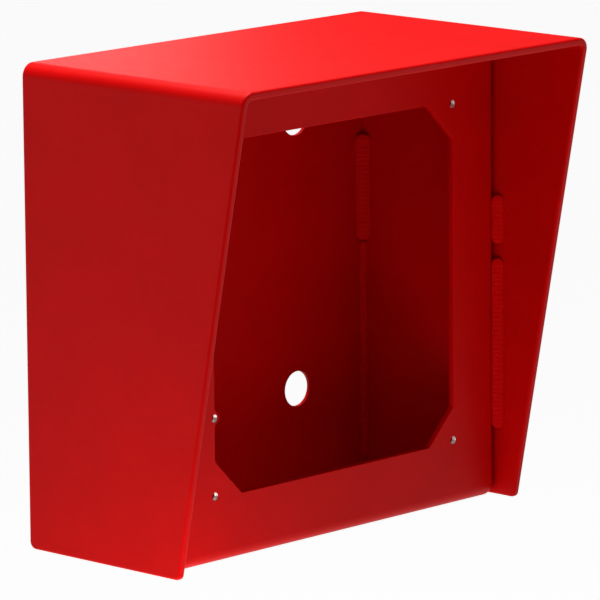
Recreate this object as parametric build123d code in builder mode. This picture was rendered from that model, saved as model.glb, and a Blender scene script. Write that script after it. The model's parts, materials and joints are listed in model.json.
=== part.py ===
from build123d import *
from math import sqrt
import os

# Hooded wall housing in folded and welded sheet steel. Millimetres, +Z up.
# The wall is the plane Y = 0, the face looks towards -Y, and the origin is the middle of the back.

# Housing as a whole
width = 182.0  # over the two wings
height = 178.0
face_depth = 68.0  # wall to the face
hood_reach = 43.0  # face to the front edge of the hood, at the top
wing_reach = 8.0  # face to the front edge of a wing, at the bottom

# Hood: one folded sheet, left wing, top and right wing
hood_gauge = 3.0
hood_bend_radius = 5.0  # outside of the bend
wing_tip_radius = 2.0
wing_heel_radius = 2.8  # lower back corner of a wing, at the wall
hood_edge_round = 0.9  # along the free edges

# Tray: one folded sheet, the face with its window and four returns that run back to the wall
tray_gauge = 2.0
tray_bend_radius = 4.5  # outside of the bend
tray_clearance = 0.15  # between the tray and the hood, each side
cut_edge_round = 0.3  # round the mouths of the window and of every hole

# Window with its corners cut off, and a tapped hole in each corner
window_width = 127.0
window_height = 128.5
window_corner = 13.5  # cut off each corner
window_corner_radius = 1.5  # where a cut meets an edge
window_lift = -0.65  # window's middle above the housing's
screw_spacing = 127.0  # both ways
screw_hole_radius = 1.5

# Small ear on the window's left edge, which holds a fifth tapped hole
ear_drop = 35.0  # below the window's middle
ear_radius = 2.3
ear_root_radius = 2.0

# Back plate, set between the tray's returns
back_gauge = 1.5
back_gap = 0.1  # to the returns, all round
wall_hole_radius = 6.75
wall_hole_lift = 0.65  # middle of the four holes above the housing's
wall_spacing_x = 98.0
wall_spacing_z = 104.0

# Weld runs: where each starts above the bottom, and its length
front_lower_run = (26.0, 65.0)
front_upper_run = (96.5, 18.5)
back_run_gap = 0.5  # above the tray's lower bend, and between the two runs
back_lower_run = (tray_bend_radius + back_run_gap, 85.0)
back_upper_run = (sum(back_lower_run) + back_run_gap, 41.0)

# Weld beads: how far each spreads from its corner
front_bead_spread = 2.8  # across the tray's bend
front_bead_reach = 3.5  # out along the wing, in front of the face
front_bead_root = 1.5  # behind the face
back_lower_leg = 2.2
back_upper_leg = 4.5
bead_crown = 0.12  # bulge of a bead, as a share of its width

# Planes that more than one piece follows
top = height / 2
bottom = -height / 2
ceiling = top - hood_gauge
wing_face = width / 2 - hood_gauge
tray_side = wing_face - tray_clearance
tray_top = ceiling - tray_clearance
tray_wall = tray_side - tray_gauge
face_plane = Plane.XZ.offset(face_depth)


with BuildPart() as hood_shell:
    with BuildSketch(Plane.XZ) as hood_section:
        Rectangle(width, height)
        fillet(hood_section.vertices().group_by(Axis.Y)[-1], radius=hood_bend_radius)
        with Locations((0, -hood_gauge)):
            Rectangle(2 * wing_face, height, mode=Mode.SUBTRACT)
        inner_corners = hood_section.vertices().filter_by_position(Axis.Y, ceiling, ceiling)
        fillet(inner_corners, radius=hood_bend_radius - hood_gauge)
    extrude(amount=face_depth + hood_reach)

    # The front edges slope back from the hood's brow to the foot of each wing
    with BuildSketch(Plane.YZ) as hood_side:
        with BuildLine():
            Polyline(
                (0, bottom),
                (-face_depth - wing_reach, bottom),
                (-face_depth - hood_reach, top),
                (0, top),
                close=True,
            )
        make_face()
        wing_tip = hood_side.vertices().group_by(Axis.Y)[0].sort_by(Axis.X)[0]
        fillet(wing_tip, radius=wing_tip_radius)
        wing_heel = hood_side.vertices().group_by(Axis.Y)[0].sort_by(Axis.X)[-1]
        fillet(wing_heel, radius=wing_heel_radius)
    extrude(amount=width, both=True, mode=Mode.INTERSECT)
    front_edge = hood_shell.faces().filter_by(GeomType.PLANE).sort_by(Axis.Y)[0]
    fillet(front_edge.edges(), radius=hood_edge_round)


with BuildPart() as face_tray:
    with BuildSketch(Plane.XZ):
        with Locations((0, (tray_top + bottom) / 2)):
            Rectangle(2 * tray_side, tray_top - bottom)
    extrude(amount=face_depth)
    back_edges = face_tray.faces().sort_by(Axis.Y)[-1].edges()
    fillet(face_tray.edges() - back_edges, radius=tray_bend_radius)
    offset(amount=-tray_gauge, openings=face_tray.faces().sort_by(Axis.Y)[-1])

    with BuildSketch(face_plane) as window:
        with Locations((0, window_lift)):
            Rectangle(window_width, window_height)
        chamfer(window.vertices(), length=window_corner)
        fillet(window.vertices(), radius=window_corner_radius)
        with Locations((-window_width / 2, window_lift - ear_drop)):
            Circle(ear_radius, mode=Mode.SUBTRACT)
        ear_roots = window.vertices().filter_by_position(
            Axis.Y,
            window_lift - ear_drop - ear_radius,
            window_lift - ear_drop + ear_radius,
        )
        fillet(ear_roots, radius=ear_root_radius)
    extrude(amount=-2 * tray_gauge, mode=Mode.SUBTRACT)

    with BuildSketch(face_plane):
        with Locations((0, window_lift)):
            with GridLocations(screw_spacing, screw_spacing, 2, 2):
                Circle(screw_hole_radius)
        with Locations((-window_width / 2, window_lift - ear_drop)):
            Circle(screw_hole_radius)
    extrude(amount=-2 * tray_gauge, mode=Mode.SUBTRACT)
    face = face_tray.faces().sort_by(Axis.Y)[0]
    fillet(face.inner_wires().edges(), radius=cut_edge_round)


with BuildPart() as back_plate:
    with BuildSketch(Plane.XZ):
        with Locations((0, (tray_top + bottom) / 2)):
            RectangleRounded(
                2 * (tray_wall - back_gap),
                tray_top - bottom - 2 * (tray_gauge + back_gap),
                tray_bend_radius - tray_gauge,
            )
        with Locations((0, wall_hole_lift)):
            with GridLocations(wall_spacing_x, wall_spacing_z, 2, 2):
                Circle(wall_hole_radius, mode=Mode.SUBTRACT)
    extrude(amount=back_gauge)
    plate_front = back_plate.faces().sort_by(Axis.Y)[0]
    fillet(plate_front.inner_wires().edges(), radius=cut_edge_round)


def crown_line(start, end):
    # Bulging surface of a bead, from the toe on one sheet to the toe on the other
    chord = Vector(*end) - Vector(*start)
    middle = (Vector(*start) + Vector(*end)) / 2
    ThreePointArc(start, middle + Vector(chord.Y, -chord.X) * bead_crown, end)


def front_weld(run):
    # Fills the groove between the tray's bend and the right wing
    start, length = run
    bend_x = tray_side - tray_bend_radius
    bend_y = -face_depth + tray_bend_radius
    toe_x = wing_face - front_bead_spread
    toe = (toe_x, bend_y - sqrt(tray_bend_radius**2 - (toe_x - bend_x) ** 2))
    wing_toe = (wing_face, -face_depth - front_bead_reach)
    root_y = -face_depth + front_bead_root
    with BuildPart() as bead:
        with BuildSketch(Plane.XY.offset(bottom + start)):
            with BuildLine():
                crown_line(toe, wing_toe)
                Polyline(wing_toe, (wing_face, root_y), (toe_x, root_y), toe)
            make_face()
            with Locations((bend_x, bend_y)):
                Circle(tray_bend_radius, mode=Mode.SUBTRACT)
        extrude(amount=length)
    return bead.part


def back_weld(run, leg):
    # Fills the inside corner between the back plate and the tray's right return
    start, length = run
    plate_toe = (tray_wall - leg, -back_gauge)
    return_toe = (tray_wall, -back_gauge - leg)
    with BuildPart() as bead:
        with BuildSketch(Plane.XY.offset(bottom + start)):
            with BuildLine():
                crown_line(plate_toe, return_toe)
                Polyline(return_toe, (tray_wall, -back_gauge), plate_toe)
            make_face()
        extrude(amount=length)
    return bead.part


right_welds = {
    "front_weld_lower": front_weld(front_lower_run),
    "front_weld_upper": front_weld(front_upper_run),
    "back_weld_lower": back_weld(back_lower_run, back_lower_leg),
    "back_weld_upper": back_weld(back_upper_run, back_upper_leg),
}

os.makedirs("parts", exist_ok=True)

hood_shell.part.label = "hood_shell"
export_step(hood_shell.part, "parts/hood_shell.step")

face_tray.part.label = "face_tray"
export_step(face_tray.part, "parts/face_tray.step")

back_plate.part.label = "back_plate"
export_step(back_plate.part, "parts/back_plate.step")

for name, right_weld in right_welds.items():
    for side, weld in (("right", right_weld), ("left", mirror(right_weld, about=Plane.YZ))):
        weld.label = f"{name}_{side}"
        export_step(weld, f"parts/{weld.label}.step")
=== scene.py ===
import json
import math

import bpy
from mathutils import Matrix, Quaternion, Vector


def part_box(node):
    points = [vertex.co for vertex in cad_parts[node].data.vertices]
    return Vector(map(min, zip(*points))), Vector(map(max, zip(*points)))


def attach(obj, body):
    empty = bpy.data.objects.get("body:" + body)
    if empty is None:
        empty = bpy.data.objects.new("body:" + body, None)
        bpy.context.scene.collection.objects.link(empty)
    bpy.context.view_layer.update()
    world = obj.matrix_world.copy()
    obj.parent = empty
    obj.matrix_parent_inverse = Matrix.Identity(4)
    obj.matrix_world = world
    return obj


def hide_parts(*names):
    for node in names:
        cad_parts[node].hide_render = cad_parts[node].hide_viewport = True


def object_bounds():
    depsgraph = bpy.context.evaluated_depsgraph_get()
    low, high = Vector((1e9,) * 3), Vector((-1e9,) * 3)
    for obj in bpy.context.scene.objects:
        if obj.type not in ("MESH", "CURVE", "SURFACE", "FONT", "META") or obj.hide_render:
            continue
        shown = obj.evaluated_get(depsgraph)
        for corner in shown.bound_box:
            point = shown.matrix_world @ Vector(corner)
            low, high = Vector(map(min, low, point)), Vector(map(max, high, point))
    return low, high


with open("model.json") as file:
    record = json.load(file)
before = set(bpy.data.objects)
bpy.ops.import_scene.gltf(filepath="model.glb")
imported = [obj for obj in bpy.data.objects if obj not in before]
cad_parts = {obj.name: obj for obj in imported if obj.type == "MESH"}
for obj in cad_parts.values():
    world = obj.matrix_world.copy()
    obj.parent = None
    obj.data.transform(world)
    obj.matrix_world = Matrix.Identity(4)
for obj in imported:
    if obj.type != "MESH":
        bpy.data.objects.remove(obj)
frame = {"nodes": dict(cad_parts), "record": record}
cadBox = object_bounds()
print("frame loaded with", len(frame["nodes"]), "nodes")

mm = 0.001
mergeDistance = 0.001 * mm


class Wire:
    # An output socket that works in sums: each sum adds one Math node to the socket's own tree.
    def __init__(self, tree, socket=None):
        self.tree = tree
        self.socket = socket

    def add(self, kind, settings=None, sockets=None, output=0):
        # Any other node. Its settings go on first, then the values or links of its sockets.
        node = self.tree.nodes.new(kind)
        for name, value in (settings or {}).items():
            if name == "stops":
                while len(node.color_ramp.elements) < len(value):
                    node.color_ramp.elements.new(0.5)
                for stop, (place, shade) in zip(node.color_ramp.elements, value):
                    stop.position = place
                    stop.color = (shade, shade, shade, 1)
            else:
                setattr(node, name, value)
        for key, value in (sockets or {}).items():
            if isinstance(value, Wire):
                self.tree.links.new(value.socket, node.inputs[key])
            else:
                node.inputs[key].default_value = value
        return Wire(self.tree, node.outputs[output])

    def sum(self, operation, first, second):
        return self.add("ShaderNodeMath", {"operation": operation}, {0: first, 1: second})

    def vector(self, operation, other):
        # Vectors add to each other, and scale by a value.
        key = "Scale" if operation == "SCALE" else 1
        return self.add("ShaderNodeVectorMath", {"operation": operation}, {0: self, key: other})

    def __add__(self, other):
        return self.sum("ADD", self, other)

    def __radd__(self, other):
        return self.sum("ADD", other, self)

    def __sub__(self, other):
        return self.sum("SUBTRACT", self, other)

    def __rsub__(self, other):
        return self.sum("SUBTRACT", other, self)

    def __mul__(self, other):
        return self.sum("MULTIPLY", self, other)

    def __rmul__(self, other):
        return self.sum("MULTIPLY", other, self)

    def __truediv__(self, other):
        return self.sum("DIVIDE", self, other)

    def __pow__(self, other):
        return self.sum("POWER", self, other)

    def atLeast(self, other):
        return self.sum("MAXIMUM", self, other)

    def atMost(self, other):
        return self.sum("MINIMUM", self, other)

    def isOver(self, other):
        return self.sum("GREATER_THAN", self, other)

    def sine(self):
        return self.sum("SINE", self, 0.0)

    def cosine(self):
        return self.sum("COSINE", self, 0.0)

    def size(self):
        return self.sum("ABSOLUTE", self, 0.0)


redPowder = {
    "colour": (0.53, 0.0010, 0.0012),
    "deepColour": (0.485, 0.0008, 0.0009),
    "cloudScale": 48.0,  # patches of about 20 mm
    "mottleScale": 240.0,
    "grainScale": 2400.0,
    "peelScale": 620.0,  # orange peel, about 1.6 mm from crest to crest
    "peelHeight": 0.014 * mm,
    "grainHeight": 0.002 * mm,
    "roughness": 0.46,
    "roughnessSpread": 0.14,
    "specular": 0.18,
    "specularTint": (1.0, 0.04, 0.04),  # the shine stays red until seen along the surface
}
weldPowder = dict(
    redPowder,
    peelScale=900.0,
    peelHeight=0.03 * mm,
    roughness=0.40,
    specular=0.22,
)


def shaderTree(name):
    material = bpy.data.materials.new(name)
    material.use_nodes = True
    return material, material.node_tree.nodes["Principled BSDF"], Wire(material.node_tree)


def joinTo(shader, **sockets):
    for name, wire in sockets.items():
        wire.tree.links.new(wire.socket, shader.inputs[name.replace("_", " ")])


def powderCoat(name, look):
    material, shader, tree = shaderTree(name)
    place = tree.add("ShaderNodeTexCoord", output="Object")
    cloud = tree.add("ShaderNodeTexNoise", None, {
        "Vector": place, "Scale": look["cloudScale"], "Detail": 2.0, "Roughness": 0.5})
    mottle = tree.add("ShaderNodeTexNoise", None, {
        "Vector": place, "Scale": look["mottleScale"], "Detail": 3.0, "Roughness": 0.6})
    grain = tree.add("ShaderNodeTexNoise", None, {
        "Vector": place, "Scale": look["grainScale"], "Detail": 1.0})
    peel = tree.add("ShaderNodeTexNoise", None, {
        "Vector": place, "Scale": look["peelScale"], "Detail": 1.5, "Distortion": 0.4})
    # Thin and thick spots of the coat: broad patches with finer mottling in them
    coat = cloud * 0.55 + mottle * 0.35 + grain * 0.10
    spread = tree.add("ShaderNodeMapRange", {"clamp": True}, {
        "Value": coat, "From Min": 0.36, "From Max": 0.64, "To Min": 0.0, "To Max": 1.0})
    colour = tree.add("ShaderNodeMix", {"data_type": "RGBA"}, {
        0: spread, 6: (*look["deepColour"], 1), 7: (*look["colour"], 1)}, output=2)
    rough = look["roughness"] + (mottle * 0.6 + grain * 0.4 - 0.5) * look["roughnessSpread"]
    height = peel * look["peelHeight"] + grain * look["grainHeight"]
    bump = tree.add("ShaderNodeBump", None, {"Strength": 1.0, "Distance": 1.0, "Height": height})
    shader.inputs["Specular IOR Level"].default_value = look["specular"]
    shader.inputs["Specular Tint"].default_value = (*look["specularTint"], 1)
    joinTo(shader, Base_Color=colour, Roughness=rough, Normal=bump)
    return material


threadSteel = {
    "bright": (0.96, 0.93, 0.91),
    "dull": (0.78, 0.72, 0.69),
    "tint": (0.72, 0.05, 0.04),  # paint that has crept into the first turns
    "scratchScale": 2600.0,
    "paintScale": 700.0,
    "roughness": 0.34,
}


def bareSteel(name, look):
    material, shader, tree = shaderTree(name)
    place = tree.add("ShaderNodeTexCoord", output="Object")
    squashed = tree.add("ShaderNodeMapping", None, {"Vector": place, "Scale": (1.0, 5.0, 1.0)})
    scratch = tree.add("ShaderNodeTexNoise", None, {
        "Vector": squashed, "Scale": look["scratchScale"], "Detail": 3.0})
    creep = tree.add("ShaderNodeTexNoise", None, {"Vector": place, "Scale": look["paintScale"]})
    metal = tree.add("ShaderNodeMix", {"data_type": "RGBA"}, {
        0: scratch, 6: (*look["dull"], 1), 7: (*look["bright"], 1)}, output=2)
    painted = tree.add("ShaderNodeValToRGB", {"stops": [(0.60, 0.0), (0.68, 1.0)]}, {"Fac": creep})
    colour = tree.add("ShaderNodeMix", {"data_type": "RGBA"}, {
        0: painted, 6: metal, 7: (*look["tint"], 1)}, output=2)
    bump = tree.add("ShaderNodeBump", None, {
        "Strength": 0.6, "Distance": 1.0, "Height": scratch * (0.01 * mm)})
    joinTo(
        shader,
        Base_Color=colour,
        Metallic=1 - painted * 0.9,
        Roughness=look["roughness"] + scratch * 0.2,
        Normal=bump,
    )
    return material


paint = powderCoat("redPowderCoat", redPowder)
weldPaint = powderCoat("redPowderOverWeld", weldPowder)
steel = bareSteel("bareThreadSteel", threadSteel)
print("finishes made")


# The three sheets keep their shape from the frame and only get the powder coat
sheetNames = ["hood_shell", "face_tray", "back_plate"]
for sheetName in sheetNames:
    sheet = frame["nodes"][sheetName]
    sheet.data.materials.clear()
    sheet.data.materials.append(paint)
print("sheets painted")


def newGroup(name, sockets):
    # A Geometry Nodes tree with its named inputs and one mesh output
    group = bpy.data.node_groups.new(name, "GeometryNodeTree")
    group.interface.new_socket("Mesh", in_out="OUTPUT", socket_type="NodeSocketGeometry")
    for socketName, kind in sockets.items():
        group.interface.new_socket(socketName, in_out="INPUT", socket_type="NodeSocket" + kind)
    given = group.nodes.new("NodeGroupInput")
    return group, {s.name: Wire(group, s) for s in given.outputs if s.name}


def finishGroup(group, mesh, material):
    # Every tree ends in real geometry with its material on
    smooth = mesh.add("GeometryNodeSetShadeSmooth", None, {"Geometry": mesh})
    real = smooth.add("GeometryNodeRealizeInstances", None, {"Geometry": smooth})
    painted = real.add("GeometryNodeSetMaterial", None, {"Geometry": real, "Material": material})
    group.links.new(painted.socket, group.nodes.new("NodeGroupOutput").inputs[0])


def grown(name, group, values, startMesh=None):
    # Runs a tree on an object and keeps the result as a plain mesh
    seed = bpy.data.objects.new(name + "Seed", startMesh or bpy.data.meshes.new(name + "Seed"))
    bpy.context.scene.collection.objects.link(seed)
    modifier = seed.modifiers.new("grow", "NODES")
    modifier.node_group = group
    for item in group.interface.items_tree:
        if item.in_out == "INPUT" and item.name in values:
            modifier[item.identifier] = values[item.name]
    graph = bpy.context.evaluated_depsgraph_get()
    mesh = bpy.data.meshes.new_from_object(seed.evaluated_get(graph), depsgraph=graph)
    seed.modifiers.remove(modifier)
    bpy.data.objects.remove(seed)
    piece = bpy.data.objects.new(name, mesh)
    bpy.context.scene.collection.objects.link(piece)
    return piece


def rolledGrid(group, rows, around):
    # A flat grid, with where each point is along it (0 to 1) and round it (a full turn)
    grid = Wire(group).add("GeometryNodeMeshGrid", None, {
        "Size X": 1.0, "Size Y": 1.0, "Vertices X": rows, "Vertices Y": around}, output="Mesh")
    place = grid.add("GeometryNodeInputPosition")
    split = place.add("ShaderNodeSeparateXYZ", None, {0: place}, output="X")
    other = Wire(group, split.socket.node.outputs["Y"])
    return grid, split + 0.5, (other + 0.5) * (2 * math.pi)


# Weld runs, with the ripples that the torch leaves
weldBead = {
    "pitch": 1.7 * mm,
    "ripple": 0.09 * mm,
    "lag": 0.9 * mm,  # how far a ripple's middle trails its ends
    "wobble": 0.10,  # share of the bead's width
    "endLength": 2.6 * mm,
    "step": 0.16 * mm,
    "around": 25,
    "crown": 0.22,  # height of the bead, as a share of its half width
    "bendToe": 3.9 * mm,  # how far the toe on the tray's bend lies behind the toe on the wing
    "driftRound": 0.35,  # how fast the wobble changes round the bead, and along it per metre
    "driftAlong": 330.0,
}


def weldTree():
    group, given = newGroup("weldBead", {
        "Start": "Vector", "Length": "Float", "Across": "Vector", "Outward": "Vector",
        "Rows": "Int", "Pitch": "Float", "Ripple": "Float", "Lag": "Float", "Wobble": "Float",
        "EndLength": "Float", "Seed": "Float", "Finish": "Material"})
    grid, along, turn = rolledGrid(group, given["Rows"], weldBead["around"])
    reach = along * given["Length"]
    # The ends swell up from nothing, as a puddle does
    nearEnd = reach.atMost(given["Length"] - reach) / given["EndLength"]
    rise = nearEnd.atMost(1.0)
    swell = (rise * (2.0 - rise)).atLeast(0.0) ** 0.5
    drift = grid.add("ShaderNodeCombineXYZ", None, {
        0: turn.cosine() * weldBead["driftRound"],
        1: turn.sine() * weldBead["driftRound"],
        2: reach * weldBead["driftAlong"]})
    noise = grid.add("ShaderNodeTexNoise", {"noise_dimensions": "4D"}, {
        "Vector": drift, "W": given["Seed"], "Scale": 1.0, "Detail": 2.0})
    wobble = 1.0 + (noise - 0.5) * 2.0 * given["Wobble"]
    outer = turn.sine().atLeast(0.0)
    phase = (reach - given["Lag"] * outer + noise * given["Pitch"] * 0.5) / given["Pitch"]
    scallop = (phase * math.pi).sine().size()
    lift = outer * (swell * wobble) + turn.sine().atMost(0.0) * swell
    ripple = scallop * outer * swell * given["Ripple"]
    acrossPart = given["Across"].vector("SCALE", turn.cosine() * swell * wobble)
    outwardPart = given["Outward"].vector("SCALE", lift)
    facing = given["Outward"].add("ShaderNodeVectorMath", {"operation": "NORMALIZE"}, {
        0: given["Outward"]})
    ripplePart = facing.vector("SCALE", ripple)
    rising = grid.add("ShaderNodeCombineXYZ", None, {"Z": reach})
    place = given["Start"].vector("ADD", rising).vector("ADD", acrossPart)
    place = place.vector("ADD", outwardPart).vector("ADD", ripplePart)
    bead = grid.add("GeometryNodeSetPosition", None, {"Geometry": grid, "Position": place})
    closed = bead.add("GeometryNodeMergeByDistance", None, {
        "Geometry": bead, "Distance": mergeDistance})
    finishGroup(group, closed, given["Finish"])
    return group


beadGroup = weldTree()
weldNodes = sorted(n for n in frame["nodes"] if "_weld_" in n)
for number, nodeName in enumerate(weldNodes):
    low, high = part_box(nodeName)
    rightSide = low.x > 0
    inner, outer = (low.x, high.x) if rightSide else (high.x, low.x)
    if nodeName.startswith("front"):
        # From the tray's bend, behind the face, out to the wing in front of it
        firstToe = Vector((inner, low.y + weldBead["bendToe"], 0))
        secondToe = Vector((outer, low.y, 0))
    else:
        firstToe = Vector((inner, high.y, 0))
        secondToe = Vector((outer, low.y, 0))
    chord = secondToe - firstToe
    outward = Vector((chord.y, -chord.x, 0)).normalized()
    if outward.y > 0:
        outward = -outward
    middle = (firstToe + secondToe) / 2
    halfWidth = chord.length / 2
    crown = weldBead["crown"] * halfWidth
    length = high.z - low.z
    values = {
        "Start": (middle.x, middle.y, low.z),
        "Length": length,
        "Across": tuple(chord / 2),
        "Outward": tuple(outward * crown),
        "Rows": int(length / weldBead["step"]),
        "Pitch": weldBead["pitch"],
        "Ripple": weldBead["ripple"],
        "Lag": weldBead["lag"],
        "Wobble": weldBead["wobble"],
        "EndLength": weldBead["endLength"],
        "Seed": 3.0 + number,
        "Finish": weldPaint,
    }
    bead = grown("bead_" + nodeName, beadGroup, values)
    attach(bead, "root")
    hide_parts(nodeName)
print("weld runs made:", len(weldNodes))


# Bare threads in the five tapped holes
thread = {
    "pitch": 0.5 * mm,
    "minorRadius": 1.23 * mm,
    "majorRadius": 1.49 * mm,
    "rowsPerTurn": 8,
    "around": 49,
    "mouth": 0.32 * mm,  # how far the first turn lies behind the face
    "short": 0.05 * mm,  # how far the last turn stops short of the back of the sheet
}


def threadTree():
    group, given = newGroup("tappedThread", {
        "Holes": "Geometry", "Depth": "Float", "Pitch": "Float", "Minor": "Float",
        "Major": "Float", "Rows": "Int", "Finish": "Material"})
    rows = given["Rows"] + 2
    grid, along, turn = rolledGrid(group, rows, thread["around"])
    row = along * (given["Rows"] + 1)
    # The last row goes back to the mouth on the outside, which closes the sleeve
    goesBack = row.isOver(given["Rows"] + 0.5)
    deep = row / given["Rows"] * (1 - goesBack)
    atEnd = goesBack.atLeast(1 - row.isOver(0.5)).atLeast(row.isOver(given["Rows"] - 0.5))
    phase = deep * given["Depth"] / given["Pitch"] + turn / (2 * math.pi)
    wave = grid.add("ShaderNodeMath", {"operation": "PINGPONG"}, {0: phase, 1: 0.5}) * 2.0
    groove = wave.atLeast(atEnd)
    radius = given["Minor"] + (given["Major"] - given["Minor"]) * groove
    place = grid.add("ShaderNodeCombineXYZ", None, {
        "X": radius * turn.cosine(), "Y": deep * given["Depth"], "Z": radius * turn.sine()})
    sleeve = grid.add("GeometryNodeSetPosition", None, {"Geometry": grid, "Position": place})
    closed = sleeve.add("GeometryNodeMergeByDistance", None, {
        "Geometry": sleeve, "Distance": mergeDistance})
    spots = closed.add("GeometryNodeMeshToPoints", None, {"Mesh": given["Holes"]})
    placed = spots.add("GeometryNodeInstanceOnPoints", None, {"Points": spots, "Instance": closed})
    finishGroup(group, placed, given["Finish"])
    return group


mounts = {m["name"]: m for m in frame["record"]["mounts"]}
screws, ear = mounts["window_screws"], mounts["ear_screw"]
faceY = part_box("face_tray")[0].y
halfX = screws["dims"]["spacing_x_mm"] / 2 * mm
halfZ = screws["dims"]["spacing_y_mm"] / 2 * mm
holes = [
    (screws["pos_m"][0] + i * halfX, faceY + thread["mouth"], screws["pos_m"][2] + k * halfZ)
    for i in (-1, 1) for k in (-1, 1)
] + [(ear["pos_m"][0], faceY + thread["mouth"], ear["pos_m"][2])]
holeMesh = bpy.data.meshes.new("holeSpots")
holeMesh.from_pydata(holes, [], [])
threadDepth = ear["dims"]["length_mm"] * mm - thread["short"]
threads = grown("bareThreads", threadTree(), {
    "Depth": threadDepth,
    "Pitch": thread["pitch"],
    "Minor": thread["minorRadius"],
    "Major": thread["majorRadius"],
    "Rows": int(threadDepth / thread["pitch"] * thread["rowsPerTurn"]),
    "Finish": steel,
}, holeMesh)
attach(threads, "root")
print("threads made in", len(holes), "holes")


studio = {
    "floorDrop": 0.60,  # below the housing
    "floorRadius": 30.0,
    "floorColour": (0.92, 0.92, 0.92),
    "glowFrom": 0.7,  # the floor brightens to white between these two radii
    "glowTo": 2.2,
    "nearGlow": 0.30,
    "glow": 0.86,
    "roomColour": (0.10, 0.10, 0.10),
}
softboxes = {
    "overhead": {
        "from": (-0.05, 0.05, 0.70), "to": (0, -0.05, 0),
        "size": (0.5, 0.5), "power": 10.0,
    },
    "sheen": {  # low behind the right side, for the shine along the top
        "from": (0.33, 0.42, 0.24), "to": (-0.05, -0.05, 0.09),
        "size": (0.15, 0.15), "power": 0.12,
    },
    "frontHigh": {
        "from": (-0.15, -0.80, 0.74), "to": (0, -0.05, 0),
        "size": (0.5, 0.5), "power": 0.8,
    },
    "insideLow": {  # a little fill inside the box, on the back plate
        "from": (0.0, -0.060, -0.070), "to": (0.02, 0, -0.045),
        "size": (0.02, 0.12), "power": 0.011,
    },
    "underLeft": {
        "from": (-0.17, -0.05, -0.16), "to": (-0.09, -0.05, -0.08),
        "size": (0.05, 0.30), "power": 0.12,
    },
    "underCorner": {
        "from": (-0.11, -0.13, -0.13), "to": (-0.06, -0.068, -0.08),
        "size": (0.04, 0.04), "power": 0.065,
    },
}

world = bpy.context.scene.world or bpy.data.worlds.new("room")
bpy.context.scene.world = world
world.use_nodes = True
world.node_tree.nodes["Background"].inputs["Color"].default_value = (*studio["roomColour"], 1)

floorMesh = bpy.data.meshes.new("floor")
corners = 96
floorZ = cadBox[0].z - studio["floorDrop"]
turns = [2 * math.pi * i / corners for i in range(corners)]
ring = [(studio["floorRadius"] * math.cos(t), studio["floorRadius"] * math.sin(t), floorZ)
        for t in turns]
floorMesh.from_pydata(ring, [], [tuple(range(corners))])
floor = bpy.data.objects.new("floor", floorMesh)
bpy.context.scene.collection.objects.link(floor)
floorMaterial, floorShader, floorTree = shaderTree("paleFloor")
floorPlace = floorTree.add("ShaderNodeTexCoord", output="Object")
floorNoise = floorTree.add("ShaderNodeTexNoise", None, {"Vector": floorPlace, "Scale": 3.0})
fromMiddle = floorPlace.add(
    "ShaderNodeVectorMath", {"operation": "LENGTH"}, {0: floorPlace}, output="Value")
glow = floorTree.add("ShaderNodeMapRange", {"interpolation_type": "SMOOTHSTEP"}, {
    "Value": fromMiddle, "From Min": studio["glowFrom"], "From Max": studio["glowTo"],
    "To Min": studio["nearGlow"], "To Max": studio["glow"]})
glowColour = floorTree.add("ShaderNodeCombineColor", None, {
    "Red": glow, "Green": glow, "Blue": glow})
joinTo(floorShader, Roughness=0.85 + floorNoise * 0.1, Emission_Color=glowColour)
floorShader.inputs["Emission Strength"].default_value = 1.0
floorShader.inputs["Base Color"].default_value = (*studio["floorColour"], 1)
floorShader.inputs["Specular IOR Level"].default_value = 0.1
floorMesh.materials.append(floorMaterial)

for name, box in softboxes.items():
    lightData = bpy.data.lights.new(name, "AREA")
    lightData.shape = "ELLIPSE"
    lightData.size, lightData.size_y = box["size"]
    lightData.energy = box["power"]
    light = bpy.data.objects.new(name, lightData)
    light.location = box["from"]
    light.rotation_mode = "QUATERNION"
    light.rotation_quaternion = (Vector(box["from"]) - Vector(box["to"])).to_track_quat("Z", "Y")
    light.visible_camera = False
    bpy.context.scene.collection.objects.link(light)
print("studio lit")

view = {
    "azimuth": -46.35,
    "elevation": 10.81,
    "roll": -0.46,
    "target": (-0.0037, -0.0534, -0.0030),
    "distance": 2.075,
    "lens": 341.3,
}
azimuth, elevation = math.radians(view["azimuth"]), math.radians(view["elevation"])
back = Vector((
    math.sin(azimuth) * math.cos(elevation),
    -math.cos(azimuth) * math.cos(elevation),
    math.sin(elevation),
))
cameraData = bpy.data.cameras.new("camera")
cameraData.lens = view["lens"]
cameraData.sensor_width = 36.0
cameraData.clip_start = 0.05
cameraData.clip_end = 60.0
camera = bpy.data.objects.new("camera", cameraData)
camera.location = Vector(view["target"]) + back * view["distance"]
camera.rotation_mode = "QUATERNION"
roll = Quaternion(back, math.radians(view["roll"]))
camera.rotation_quaternion = roll @ back.to_track_quat("Z", "Y")
bpy.context.scene.collection.objects.link(camera)
bpy.context.scene.camera = camera
bpy.context.scene.view_settings.view_transform = "Standard"
print("camera placed")
